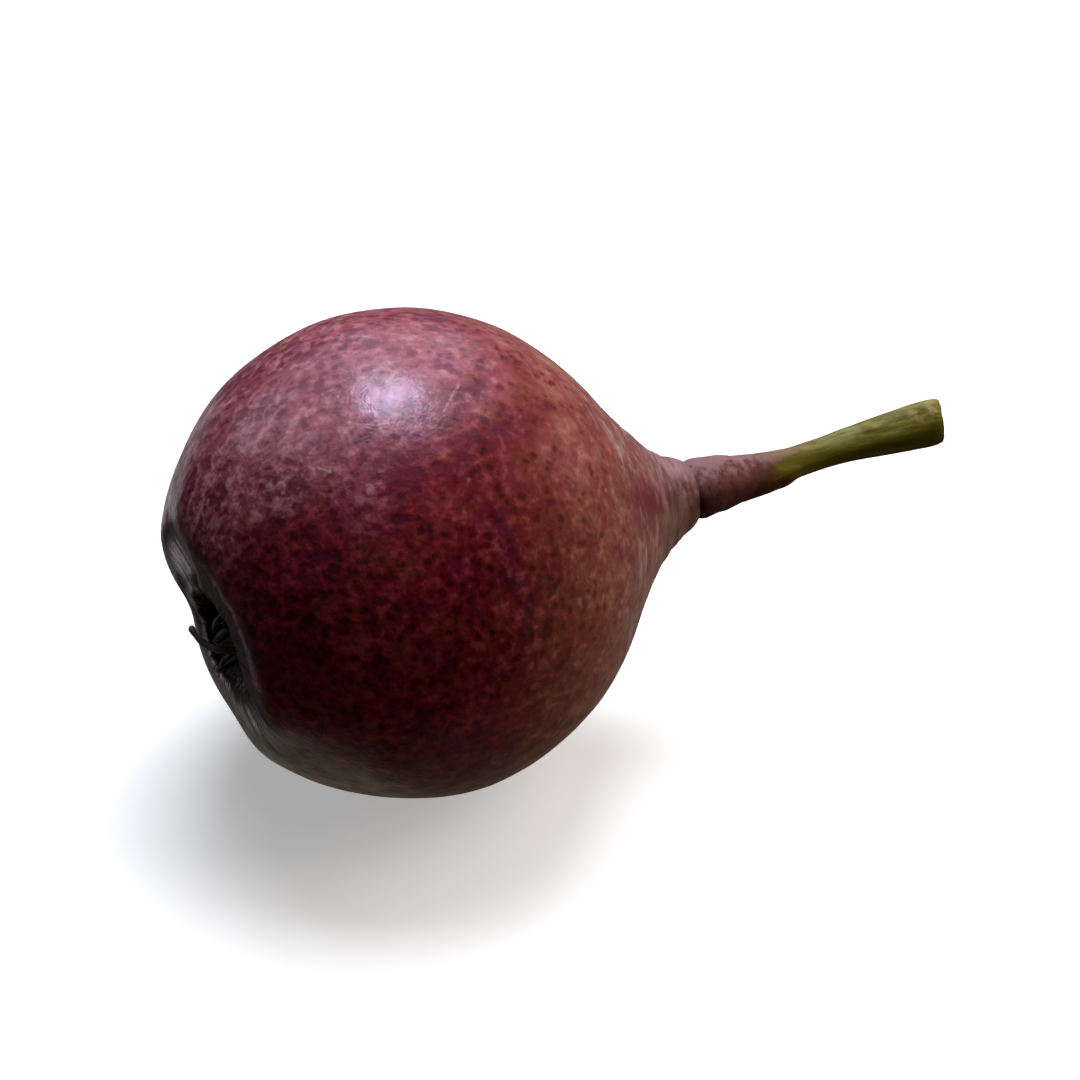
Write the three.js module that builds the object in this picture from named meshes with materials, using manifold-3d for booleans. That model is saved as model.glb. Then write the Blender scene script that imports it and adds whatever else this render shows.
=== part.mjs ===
// A small round red pear lying on its side, in millimetres, +Z up.
// The origin is the middle of the flat spot that it rests on.
// +X runs along the fruit towards the stalk.
// Three pieces: the fruit, the stalk that sits in its neck, and the dried calyx in the dimple
// at its other end.

import * as THREE from 'three';
import { mergeVertices } from 'three/addons/utils/BufferGeometryUtils.js';
import Module from 'manifold-3d';

// Driving dimensions

const bellyRadius = 30; // the belly is close to a ball
const restDepth = 0.55; // how much of the ball the resting spot takes off
const bellyHeight = bellyRadius - restDepth; // from the resting surface up to the middle of the ball
const fit = 0.3; // clearance where one piece sits in another

const shoulderAngle = 33; // degrees from the axis, where the ball gives way to the neck
const blossomAngle = 35; // degrees from the calyx axis, where the ball gives way to the blossom end
const calyxDroop = 10.5; // degrees that the calyx axis points below the fruit's axis
const calyxYaw = 7.5; // degrees that it points towards -Y

const crestRadius = 9.8; // the ring round the dimple that stands out furthest
const crestDistance = 25.7; // from the middle of the ball, as the other distances are
const lipRadius = 6.6; // where the shallow basin breaks into the dimple
const lipDistance = 25.1;
const floorRadius = 4.1; // the dimple's floor, which carries the calyx
const floorDistance = 20.8;

const neckFoot = [6.7, 33.6]; // radius and distance where the neck's cone levels out
const neckLength = 38.1; // from the middle of the ball to the crease at the stalk
const creaseRadius = 4.1;
const socketRadius = 3; // the stalk's root goes into this
const socketDepth = 5;

const stalkEnd = 74.6; // from the middle of the ball to the cut face
const stalkRise = 2.1; // how far the cut end stands above the fruit's axis
const stalkDrift = 0.8; // and how far it strays towards +Y

// Turns about the fruit's axis are in degrees, from +Z towards +Y.
// The furrows between the low lobes round the blossom end: the turn of each, and its depth.
const furrows = [[106, 1.2], [170, 0.4], [244, 0.6], [318, 0.5], [36, 0.9]];
const furrowWidth = 17; // degrees
const fullerSide = 205; // the turn where the blossom end is fullest
const fullerHeight = 0.6; // how far it stands out there
const pleatCount = 15; // fine pleats on the wall of the dimple
const pleatHeight = 0.2;
const wrinkleHeight = 0.16; // rings of wrinkles round the neck
const wrinkleSpacing = 2.4;
const unevenHeight = 0.2; // no pear is quite round
const neckDip = 0.35; // the neck sinks a little before the stalk

const fruitSides = 64;
const stalkSides = 20;
const stalkGrooves = 5;

// Helpers

const radians = THREE.MathUtils.degToRad;
const smooth = (x, low, high) => THREE.MathUtils.smoothstep(x, low, high);
const hump = (x, middle, width) => Math.exp(-(((x - middle) / width) ** 2));
const middleOf = (points) => {
  const sum = points.reduce((total, p) => total.add(p), new THREE.Vector3());
  return sum.divideScalar(points.length);
};

// Joins a stack of rings, each with the same number of points, and closes both ends with a fan.
function skinOver(rings) {
  const sides = rings[0].length;
  const lastRing = (rings.length - 1) * sides;
  const points = [...rings.flat(), middleOf(rings[0]), middleOf(rings[rings.length - 1])];
  const [startMiddle, endMiddle] = [points.length - 2, points.length - 1];
  const faces = [];
  for (let side = 0; side < sides; side++) {
    const next = (side + 1) % sides;
    faces.push(startMiddle, next, side);
    for (let a = 0; a < lastRing; a += sides) {
      const b = a + sides;
      faces.push(a + side, a + next, b + side, b + side, a + next, b + next);
    }
    faces.push(endMiddle, lastRing + side, lastRing + next);
  }
  return new THREE.BufferGeometry().setFromPoints(points).setIndex(faces);
}

// A value that passes smoothly through [position, value] stations.
function throughStations(stations) {
  const curve = new THREE.SplineCurve(stations.map(([at, value]) => new THREE.Vector2(at, value)));
  const samples = curve.getPoints(stations.length * 12);
  return (at) => {
    const k = samples.findIndex((p) => p.x >= at);
    if (k < 1) return k === 0 ? samples[0].y : samples[samples.length - 1].y;
    const [a, b] = [samples[k - 1], samples[k]];
    return THREE.MathUtils.lerp(a.y, b.y, (at - a.x) / (b.x - a.x));
  };
}

// Fruit

// A point of the ball at an angle from the axis, moved along the ball's tangent towards that axis.
const onBall = (angle, onwards = 0) => [
  bellyRadius * Math.sin(angle) - onwards * Math.cos(angle),
  bellyRadius * Math.cos(angle) + onwards * Math.sin(angle),
];

// The outline from the dimple's floor, over the ball and down into the stalk's socket.
// x is the radius, and y the distance along the axis.
function fruitOutline() {
  const shoulder = radians(shoulderAngle);
  const blossom = radians(blossomAngle);
  const onBlossomSide = (onwards) => {
    const [radius, distance] = onBall(blossom, onwards);
    return [radius, -distance];
  };
  const outline = new THREE.Path();
  outline.moveTo(0, -floorDistance);
  outline.lineTo(floorRadius, -floorDistance);
  outline.bezierCurveTo(
    floorRadius + 1.1, -floorDistance - 0.5,
    lipRadius - 1.2, -lipDistance + 1.6,
    lipRadius, -lipDistance,
  );
  outline.bezierCurveTo(
    lipRadius + 0.9, -lipDistance - 0.65,
    crestRadius - 1, -crestDistance,
    crestRadius, -crestDistance,
  );
  outline.bezierCurveTo(
    crestRadius + 2.9, -crestDistance,
    ...onBlossomSide(3.2),
    ...onBlossomSide(0),
  );
  outline.absarc(0, 0, bellyRadius, blossom - Math.PI / 2, Math.PI / 2 - shoulder, false);
  outline.bezierCurveTo(
    ...onBall(shoulder, 1.8),
    neckFoot[0] + 2.2, neckFoot[1] - 2.8,
    ...neckFoot,
  );
  outline.bezierCurveTo(
    neckFoot[0] - 1.3, neckFoot[1] + 1.3,
    creaseRadius + 0.6, neckLength - 0.2,
    creaseRadius - 0.2, neckLength,
  );
  outline.bezierCurveTo(
    creaseRadius - 0.8, neckLength + 0.1,
    socketRadius + 0.1, neckLength - 1.2,
    socketRadius, neckLength - 2.2,
  );
  outline.lineTo(socketRadius - 0.4, neckLength - socketDepth);
  outline.lineTo(0, neckLength - socketDepth);
  return outline.getPoints(8);
}

// Degrees from one turn about the axis to another, the short way round.
const turnBetween = (angle, degrees) => {
  const turn = THREE.MathUtils.radToDeg(angle) - degrees;
  return THREE.MathUtils.euclideanModulo(turn + 180, 360) - 180;
};

// How far the skin stands out of the plain turned shape, along the line from the middle of the ball.
function fruitRelief(along, angle, fromAxis) {
  const blossomSide = smooth(-along, 13, 25);
  const furrowed = furrows.reduce((sum, [turn, depth]) => {
    return sum + depth * hump(turnBetween(angle, turn), 0, furrowWidth);
  }, 0);
  const fuller = fullerHeight * Math.cos(angle - radians(fullerSide)) * smooth(-fromAxis, -19, -10);
  const lobes = (fuller - furrowed) * blossomSide * smooth(fromAxis, crestRadius / 2, crestRadius);
  const pleats = pleatHeight * Math.cos(pleatCount * angle + 1.1) * hump(fromAxis, lipRadius, 1.6);
  const oval = Math.cos(2 * angle - 0.7) * hump(along, 4, 17);
  const threeSided = 0.6 * Math.cos(3 * angle + along / 9);
  const uneven = unevenHeight * (oval + threeSided) * smooth(fromAxis, 5, 14);
  const wave = (2 * Math.PI * along) / wrinkleSpacing + 0.9 * Math.sin(angle + 0.5);
  const wrinkles = wrinkleHeight * Math.sin(wave) * hump(along, neckFoot[1], 3);
  return lobes + pleats * blossomSide + uneven + wrinkles;
}

// The blossom end turns as one with the calyx axis, and the belly eases into the turn.
function turnBlossomEnd(p, along) {
  const turned = smooth(-along, 0, 20);
  p.applyAxisAngle(new THREE.Vector3(0, 1, 0), radians(-calyxDroop) * turned);
  p.applyAxisAngle(new THREE.Vector3(0, 0, 1), radians(calyxYaw) * turned);
}

function makeFruit() {
  const geometry = new THREE.LatheGeometry(fruitOutline(), fruitSides);
  geometry.rotateZ(-Math.PI / 2);
  const vertices = geometry.getAttribute('position');
  const p = new THREE.Vector3();
  for (let i = 0; i < vertices.count; i++) {
    p.fromBufferAttribute(vertices, i);
    const along = p.x;
    const relief = fruitRelief(along, Math.atan2(p.y, p.z), Math.hypot(p.y, p.z));
    p.setLength(p.length() + relief);
    turnBlossomEnd(p, along);
    p.z -= neckDip * hump(along, neckFoot[1], 3);
    p.z = Math.max(p.z, -bellyHeight); // the flat spot
    vertices.setXYZ(i, p.x, p.y, p.z);
  }
  geometry.computeVertexNormals();
  return geometry;
}

// Stalk

const rootStart = neckLength - socketDepth + fit;
const stalkRadius = throughStations([
  [rootStart, socketRadius - 0.4 - fit],
  [neckLength - 2.2, socketRadius - fit],
  [neckLength - 0.4, 3.2],
  [neckLength + 1.2, 3.75],
  [neckLength + 4.8, 3.45],
  [neckLength + 8.3, 2.85],
  [neckLength + 11.6, 2.45],
  [neckLength + 15, 2.14],
  [neckLength + 18.4, 2.07],
  [neckLength + 21.7, 2.18],
  [neckLength + 25.2, 2.44],
  [neckLength + 28.5, 2.73],
  [neckLength + 32, 2.98],
  [stalkEnd - 2.2, 3.12],
  [stalkEnd - 0.7, 3.1],
  [stalkEnd, 2.8],
]);

// The stalk leaves the neck level and rises gently: distance, and shares of the drift and the rise.
function stalkLine() {
  const points = [
    [rootStart, 0, 0],
    [neckLength, 0, 0],
    [neckLength + 6, 0.1, 0.15],
    [neckLength + 15, 0.45, 0.4],
    [neckLength + 24, 0.75, 0.7],
    [stalkEnd, 1, 1],
  ];
  return new THREE.CatmullRomCurve3(points.map(([x, drift, rise]) => {
    return new THREE.Vector3(x, drift * stalkDrift, rise * stalkRise);
  }));
}

function makeStalk() {
  const line = stalkLine();
  const steps = 40;
  const rings = [];
  for (let k = 0; k <= steps; k++) {
    const middle = line.getPointAt(k / steps);
    const forward = line.getTangentAt(k / steps);
    const side = new THREE.Vector3(0, 1, 0).addScaledVector(forward, -forward.y).normalize();
    const up = new THREE.Vector3().crossVectors(forward, side);
    const exposed = smooth(middle.x, neckLength, neckLength + 2);
    const woody = smooth(middle.x, neckLength + 8, neckLength + 18);
    const ring = [];
    for (let s = 0; s < stalkSides; s++) {
      const angle = (s / stalkSides) * 2 * Math.PI;
      const grooves = 0.05 * woody * Math.cos(stalkGrooves * angle + 0.4 + middle.x / 16);
      const flattened = 0.04 * woody * Math.cos(2 * angle);
      const knobs = 0.03 * (1 - woody) * Math.sin(1.6 * middle.x + 2 * angle);
      const radius = stalkRadius(middle.x) * (1 + (grooves + flattened + knobs) * exposed);
      ring.push(
        middle.clone()
          .addScaledVector(side, radius * Math.cos(angle))
          .addScaledVector(up, radius * Math.sin(angle)),
      );
    }
    rings.push(ring);
  }
  // The cut face is a little hollow.
  const last = rings[rings.length - 1];
  const faceMiddle = middleOf(last);
  const inward = line.getTangentAt(1).multiplyScalar(-0.45);
  rings.push(last.map((p) => p.clone().lerp(faceMiddle, 0.45).add(inward)));
  return skinOver(rings);
}

// Calyx, in a frame of its own: +Z points out of the dimple, and the origin is on the dimple's floor.

const cupRadius = 3.6;
const cupHeight = 1.4;
const sepalThickness = 0.7;

// Turn about the axis, length, width at the root, lean outward at the root, and the curl that adds
// to it at the tip.
const sepals = [
  { turn: 188, length: 9, width: 2.8, lean: -15, curl: -60 },
  { turn: 260, length: 5.0, width: 2.9, lean: -6, curl: -55 },
  { turn: 332, length: 5.6, width: 3.0, lean: -10, curl: -35 },
  { turn: 44, length: 5.2, width: 2.8, lean: -4, curl: 10 },
  { turn: 116, length: 4.6, width: 2.9, lean: -14, curl: -30 },
];

// Bends a tapering blade or thread up from a foot, with a ring of points for each step from ringAt.
function bentRings(foot, length, steps, headingAt, ringAt) {
  const middle = new THREE.Vector3(foot, 0, cupHeight * 0.45);
  const rings = [];
  for (let k = 0; k <= steps; k++) {
    const t = k / steps;
    const heading = radians(headingAt(t));
    const onwards = new THREE.Vector3(Math.sin(heading), 0, Math.cos(heading));
    if (k) middle.addScaledVector(onwards, length / steps);
    rings.push(ringAt(t, middle, new THREE.Vector3(onwards.z, 0, -onwards.x)));
  }
  return rings;
}

function makeSepal({ turn, length, width, lean, curl }) {
  const sides = 8;
  const rings = bentRings(cupRadius - 0.9, length, 7, (t) => lean + curl * t * t, (t, middle, outward) => {
    const halfWidth = (width / 2) * (1 - 0.86 * t ** 1.3);
    const halfThickness = (sepalThickness / 2) * (1 - 0.1 * t);
    return Array.from({ length: sides }, (_, s) => {
      const angle = (s / sides) * 2 * Math.PI;
      const across = halfWidth * Math.cos(angle);
      const cupped = -0.14 * across ** 2;
      return middle.clone().addScaledVector(outward, cupped - halfThickness * Math.sin(angle)).setY(across);
    });
  });
  return skinOver(rings).rotateZ(radians(turn));
}

function makeThread({ turn, foot, length, lean }) {
  const sides = 5;
  const rings = bentRings(foot, length, 4, (t) => lean * (1 + t), (t, middle) => {
    const radius = 0.34 - 0.08 * t + 0.14 * hump(t, 1, 0.25);
    return Array.from({ length: sides }, (_, s) => {
      const angle = (s / sides) * 2 * Math.PI;
      return middle.clone().add(new THREE.Vector3(radius * Math.cos(angle), radius * Math.sin(angle), 0));
    });
  });
  return skinOver(rings).rotateZ(radians(turn));
}

function makeCup() {
  const outline = new THREE.Path();
  outline.moveTo(0, 0);
  outline.lineTo(cupRadius - 0.4, 0);
  outline.quadraticCurveTo(cupRadius, 0, cupRadius, 0.5);
  outline.quadraticCurveTo(cupRadius, cupHeight, cupRadius - 0.9, cupHeight);
  outline.quadraticCurveTo(cupRadius - 1.9, cupHeight, cupRadius - 2.2, cupHeight - 0.5);
  outline.lineTo(0, cupHeight - 0.6);
  return new THREE.LatheGeometry(outline.getPoints(4), 28).rotateX(Math.PI / 2);
}

const wasm = await Module();
wasm.setup();

function solidOf(geometry) {
  const bare = geometry.clone();
  bare.deleteAttribute('normal');
  bare.deleteAttribute('uv');
  const merged = mergeVertices(bare, 1e-4);
  return new wasm.Manifold(new wasm.Mesh({
    numProp: 3,
    vertProperties: new Float32Array(merged.getAttribute('position').array),
    triVerts: new Uint32Array(merged.index.array),
  }));
}

function geometryOf(solid) {
  const { vertProperties, triVerts } = solid.getMesh();
  const geometry = new THREE.BufferGeometry();
  geometry.setAttribute('position', new THREE.BufferAttribute(new Float32Array(vertProperties), 3));
  geometry.setIndex(new THREE.BufferAttribute(new Uint32Array(triVerts), 1));
  geometry.computeVertexNormals();
  return geometry;
}

function makeCalyx() {
  const stamenCount = 10;
  const styleCount = 5;
  const threads = [];
  for (let k = 0; k < stamenCount; k++) {
    const turn = (k * 360) / stamenCount + 11 * Math.sin(5 * k);
    const length = 2.6 + 0.7 * Math.sin(3 * k + 1);
    threads.push({ turn, foot: 1.9, length, lean: 8 + 8 * Math.sin(2 * k) });
  }
  for (let k = 0; k < styleCount; k++) {
    threads.push({ turn: (k * 360) / styleCount + 30, foot: 0.6, length: 2.1, lean: 7 });
  }
  const pieces = [makeCup(), ...sepals.map(makeSepal), ...threads.map(makeThread)];
  const fused = pieces.map(solidOf).reduce((whole, piece) => whole.add(piece));
  // Any hollow that the joins seal off is a body of its own here, and is left out.
  const [calyx] = fused.decompose().sort((a, b) => b.volume() - a.volume());
  return geometryOf(calyx);
}

// Assembly

const skinFinish = new THREE.MeshStandardMaterial({ color: 0x6b2530, roughness: 0.42, metalness: 0 });
const stalkFinish = new THREE.MeshStandardMaterial({ color: 0x6f6a2c, roughness: 0.7, metalness: 0 });
const calyxFinish = new THREE.MeshStandardMaterial({ color: 0x231a16, roughness: 0.85, metalness: 0 });

function named(name, geometry, material) {
  const mesh = new THREE.Mesh(geometry, material);
  mesh.name = name;
  return mesh;
}

const fruit = named('fruit', makeFruit(), skinFinish);
const stalk = named('stalk', makeStalk(), stalkFinish);
const calyx = named('calyx', makeCalyx(), calyxFinish);

// The calyx stands on the dimple's floor and looks out along the calyx axis.
const calyxDirection = new THREE.Vector3(-1, 0, 0);
turnBlossomEnd(calyxDirection, -floorDistance);
calyx.position.copy(calyxDirection).multiplyScalar(floorDistance + fit);
calyx.quaternion.setFromUnitVectors(new THREE.Vector3(0, 0, 1), calyxDirection);

const pear = new THREE.Group();
pear.add(fruit, stalk, calyx);
pear.position.z = bellyHeight;

export default pear;
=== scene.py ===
import bpy
import math
from mathutils import Matrix, Vector


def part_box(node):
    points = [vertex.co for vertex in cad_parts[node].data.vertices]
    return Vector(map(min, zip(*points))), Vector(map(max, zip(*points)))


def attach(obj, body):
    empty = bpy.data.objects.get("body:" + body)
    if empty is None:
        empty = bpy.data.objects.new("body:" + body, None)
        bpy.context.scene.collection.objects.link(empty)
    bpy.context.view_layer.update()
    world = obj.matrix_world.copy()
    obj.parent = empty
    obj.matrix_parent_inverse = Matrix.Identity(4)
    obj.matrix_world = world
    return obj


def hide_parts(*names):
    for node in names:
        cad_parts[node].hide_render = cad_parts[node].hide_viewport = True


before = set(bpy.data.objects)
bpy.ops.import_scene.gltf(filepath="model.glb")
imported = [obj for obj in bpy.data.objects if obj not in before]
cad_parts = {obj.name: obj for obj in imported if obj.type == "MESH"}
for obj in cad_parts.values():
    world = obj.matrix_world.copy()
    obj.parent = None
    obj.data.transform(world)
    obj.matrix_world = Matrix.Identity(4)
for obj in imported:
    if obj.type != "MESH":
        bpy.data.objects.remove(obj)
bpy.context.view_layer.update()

mm = 0.001
scene = bpy.context.scene


# small tools

def deselectAll():
    if bpy.context.object and bpy.context.object.mode != "OBJECT":
        bpy.ops.object.mode_set(mode="OBJECT")
    bpy.ops.object.select_all(action="DESELECT")


def makeActive(piece):
    deselectAll()
    piece.select_set(True)
    bpy.context.view_layer.objects.active = piece


def smoothStep(value, low, high):
    t = min(max((value - low) / (high - low), 0.0), 1.0)
    return t * t * (3 - 2 * t)


def bandWeight(value, start, full, fade, end):
    # 0 outside a band and 1 well inside it
    return smoothStep(value, start, full) * (1 - smoothStep(value, fade, end))


def smoothCopy(nodeName, pieceName, levels):
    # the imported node's own shape, with its facets rounded off
    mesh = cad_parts[nodeName].data.copy()
    piece = bpy.data.objects.new(pieceName, mesh)
    scene.collection.objects.link(piece)
    mesh.name = pieceName
    mesh.materials.clear()
    makeActive(piece)
    bpy.ops.object.mode_set(mode="EDIT")
    bpy.ops.mesh.select_all(action="SELECT")
    bpy.ops.mesh.remove_doubles(threshold=0.001 * mm)
    bpy.ops.mesh.tris_convert_to_quads(face_threshold=math.radians(60), shape_threshold=math.radians(90))
    bpy.ops.object.mode_set(mode="OBJECT")
    addModifier(piece, "SUBSURF", levels=levels, render_levels=levels)
    return piece


def addModifier(piece, kind, **settings):
    # put on and applied at once, so that the next step works on the real mesh
    makeActive(piece)
    modifier = piece.modifiers.new(kind.lower(), kind)
    for name, value in settings.items():
        setattr(modifier, name, value)
    bpy.ops.object.modifier_apply(modifier=modifier.name)


def weighVertices(piece, groupName, weightAt):
    # one vertex group, its weight worked out from where each vertex is
    group = piece.vertex_groups.new(name=groupName)
    for vertex in piece.data.vertices:
        weight = weightAt(vertex.co)
        if weight > 0.001:
            group.add([vertex.index], min(weight, 1.0), "REPLACE")


def roughen(piece, size, height, stretch=(1, 1, 1), groupName="", detail=1):
    # low cloudy relief; stretch makes the clouds longer along an axis
    texture = bpy.data.textures.new(piece.name + "Relief", "CLOUDS")
    texture.noise_scale = size
    texture.noise_depth = detail
    bpy.ops.object.empty_add(location=(0, 0, 0))
    handle = bpy.context.object
    handle.scale = stretch
    bpy.context.view_layer.update()
    addModifier(piece, "DISPLACE", texture=texture, texture_coords="OBJECT", texture_coords_object=handle,
                strength=height, mid_level=0.5, vertex_group=groupName)
    bpy.data.objects.remove(handle)
    bpy.data.textures.remove(texture)


def finishPiece(piece, material, nodeName):
    makeActive(piece)
    bpy.ops.object.shade_smooth()
    piece.data.materials.clear()
    piece.data.materials.append(material)
    piece.vertex_groups.clear()
    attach(piece, "root")
    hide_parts(nodeName)


# node helpers

def addNode(tree, kind, inputs=None, **settings):
    node = tree.nodes.new(kind)
    for name, value in settings.items():
        setattr(node, name, value)
    for key, value in (inputs or {}).items():
        if isinstance(value, bpy.types.NodeSocket):
            tree.links.new(value, node.inputs[key])
        else:
            node.inputs[key].default_value = value
    return node


def colour(rgb):
    return (*rgb, 1.0)


def rangeOf(tree, value, low, high, outLow=0.0, outHigh=1.0):
    inputs = {"Value": value, "From Min": low, "From Max": high, "To Min": outLow, "To Max": outHigh}
    return addNode(tree, "ShaderNodeMapRange", inputs, interpolation_type="SMOOTHSTEP").outputs["Result"]


def mathOf(tree, operation, first, second=0.0, third=0.0):
    return addNode(tree, "ShaderNodeMath", {0: first, 1: second, 2: third}, operation=operation).outputs[0]


def mixOf(tree, amount, first, second):
    # a colour mix, whose sockets 0, 6 and 7 are the amount and the two colours
    node = addNode(tree, "ShaderNodeMix", data_type="RGBA")
    for key, value in ((0, amount), (6, first), (7, second)):
        if isinstance(value, bpy.types.NodeSocket):
            tree.links.new(value, node.inputs[key])
        else:
            node.inputs[key].default_value = colour(value) if key else value
    return node.outputs[2]


def noiseOf(tree, place, size, detail=2.0, roughness=0.5, distortion=0.0):
    inputs = {"Vector": place, "Scale": 1 / size, "Detail": detail, "Roughness": roughness,
              "Distortion": distortion}
    return addNode(tree, "ShaderNodeTexNoise", inputs).outputs[0]


def both(tree, first, second):
    # full only where the two shares are full
    return mathOf(tree, "MULTIPLY", first, second)


def unevenOf(tree, place, size, low, high, detail=2.0, roughness=0.5):
    # a value that wanders between two others from place to place
    return rangeOf(tree, noiseOf(tree, place, size, detail, roughness), 0.3, 0.7, low, high)


def spotsOf(tree, place, size, inner, outer):
    # round spots, 1 in the middle of each and 0 past the outer share of a cell
    cells = addNode(tree, "ShaderNodeTexVoronoi", {"Vector": place, "Scale": 1 / size})
    return rangeOf(tree, cells.outputs["Distance"], inner, outer, 1.0, 0.0)


def stretched(tree, place, scale, turn=(0, 0, 0)):
    inputs = {"Vector": place, "Scale": scale, "Rotation": turn}
    return addNode(tree, "ShaderNodeMapping", inputs).outputs[0]


def vectorOf(tree, operation, *vectors):
    # a sum on places and directions, which comes out as one number for some operations
    outputs = addNode(tree, "ShaderNodeVectorMath", dict(enumerate(vectors)), operation=operation).outputs
    return outputs["Value" if operation in ("DOT_PRODUCT", "DISTANCE", "LENGTH") else "Vector"]


def scaledOf(tree, vector, scale):
    inputs = {0: vector, "Scale": scale}
    return addNode(tree, "ShaderNodeVectorMath", inputs, operation="SCALE").outputs["Vector"]


def warped(tree, place, size, amount):
    # shakes a pattern's place, so that its spots aren't round
    noise = addNode(tree, "ShaderNodeTexNoise", {"Vector": place, "Scale": 1 / size, "Detail": 2.0})
    centred = vectorOf(tree, "SUBTRACT", noise.outputs["Color"], (0.5, 0.5, 0.5))
    return vectorOf(tree, "ADD", place, scaledOf(tree, centred, amount))


def alongOf(tree, place, direction, start=(0, 0, 0)):
    # how far a point lies along a direction from a start
    return vectorOf(tree, "DOT_PRODUCT", vectorOf(tree, "SUBTRACT", place, start), direction)


def distanceOf(tree, place, point):
    return vectorOf(tree, "DISTANCE", place, point)


def lineDistance(tree, place, start, end):
    # how far a point lies from the straight line between two others
    start, end = Vector(start), Vector(end)
    length = (end - start).length
    direction = (end - start) / length
    inputs = {"Value": alongOf(tree, place, direction, start), "Max": length}
    along = addNode(tree, "ShaderNodeClamp", inputs).outputs[0]
    nearest = vectorOf(tree, "ADD", start, scaledOf(tree, direction, along))
    return distanceOf(tree, place, nearest)


def newMaterial(name):
    material = bpy.data.materials.new(name)
    material.use_nodes = True
    tree = material.node_tree
    shader = tree.nodes["Principled BSDF"]
    place = addNode(tree, "ShaderNodeTexCoord").outputs["Object"]
    return material, tree, shader, place


def bumpOf(tree, height, depth, under=None):
    inputs = {"Height": height, "Distance": depth, "Strength": 1.0}
    if under:
        inputs["Normal"] = under
    return addNode(tree, "ShaderNodeBump", inputs).outputs[0]


# the pear's own layout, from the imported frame

bellyRadius = 30.2 * mm  # from the belly's middle up to the top of the fruit
bellyCentre = Vector((0, 0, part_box("fruit")[1].z - bellyRadius))
calyxDroop = math.radians(10.5)
calyxYaw = math.radians(7.5)
calyxAxis = Vector((-math.cos(calyxDroop), 0, -math.sin(calyxDroop)))  # out of the dimple
calyxAxis.rotate(Matrix.Rotation(calyxYaw, 3, "Z"))
calyxOut = 21.1  # mm along that axis from the belly's middle to the calyx's foot
calyxFoot = bellyCentre + calyxAxis * calyxOut * mm
creaseAt = 38.1 * mm  # x where the neck ends and the stalk begins
shadedSide = (0, -0.52, -0.86)  # of the neck and the stalk, where they are brown and dark


# fruit

fruitLook = {
    "levels": 2,
    "lumpSize": 9 * mm,
    "lumpHeight": 0.35 * mm,
    "rippleSize": 3 * mm,
    "rippleHeight": 0.07 * mm,
    "wrinkleSize": 5 * mm,
    "wrinkleHeight": 0.22 * mm,
    "wrinkleStretch": (0.28, 1.2, 1.2),  # short along the neck and long round it
    "crestFrom": 7.0 * mm,  # the dimple's crest, measured out from the calyx's axis
    "crestTo": 17.0 * mm,
    "crestSmoothing": 60,
}


def crestWeight(point):
    offset = point - bellyCentre
    height = offset.dot(calyxAxis)
    radius = (offset - calyxAxis * height).length
    start, end = fruitLook["crestFrom"], fruitLook["crestTo"]
    return bandWeight(radius, start, 10 * mm, 13 * mm, end) * smoothStep(height, 18 * mm, 22 * mm)


def neckWeight(point):
    return bandWeight(point.x, 25 * mm, 32 * mm, 36 * mm, 38 * mm)


def makeFruit():
    look = fruitLook
    fruit = smoothCopy("fruit", "pearFruit", look["levels"])
    roughen(fruit, look["lumpSize"], look["lumpHeight"], detail=0)
    roughen(fruit, look["rippleSize"], look["rippleHeight"])
    weighVertices(fruit, "neck", neckWeight)
    # the lobes' crest is softly rounded
    weighVertices(fruit, "crest", crestWeight)
    addModifier(fruit, "SMOOTH", factor=0.5, iterations=look["crestSmoothing"], vertex_group="crest")
    roughen(fruit, look["wrinkleSize"], look["wrinkleHeight"], look["wrinkleStretch"], "neck")
    for vertex in fruit.data.vertices:
        vertex.co.z = max(vertex.co.z, 0.0)  # it rests on its flat spot
    finishPiece(fruit, skinMaterial(), "fruit")
    print("fruit made")


# each tint as the dark breathing spots, the ground between them and the light flecks
skinTints = {
    "red": ((0.046, 0.0003, 0.0025), (0.102, 0.0022, 0.0065), (0.265, 0.042, 0.050)),
    # the bloom: a waxy bloom, partly a painted sheen that lightens the skin round the highlight
    "bloomAndSheen": ((0.092, 0.0040, 0.0140), (0.205, 0.0400, 0.0600), (0.360, 0.155, 0.185)),
    # the shoulder: its own pinkish tan, lightened as painted light where it faces the lights
    "litShoulder": ((0.098, 0.0070, 0.0090), (0.200, 0.0480, 0.0500), (0.360, 0.150, 0.135)),
    # deep maroon, painted shade on the blossom side's lower front
    "deepShade": ((0.050, 0.0002, 0.0030), (0.113, 0.0008, 0.0075), (0.230, 0.0200, 0.0300)),
    "brown": ((0.085, 0.0080, 0.0050), (0.165, 0.0310, 0.0150), (0.350, 0.150, 0.092)),
    "olive": ((0.050, 0.0065, 0.0030), (0.102, 0.0225, 0.0080), (0.175, 0.082, 0.036)),
    "neck": ((0.100, 0.0170, 0.0200), (0.205, 0.0660, 0.0600), (0.350, 0.205, 0.170)),
}
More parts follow.
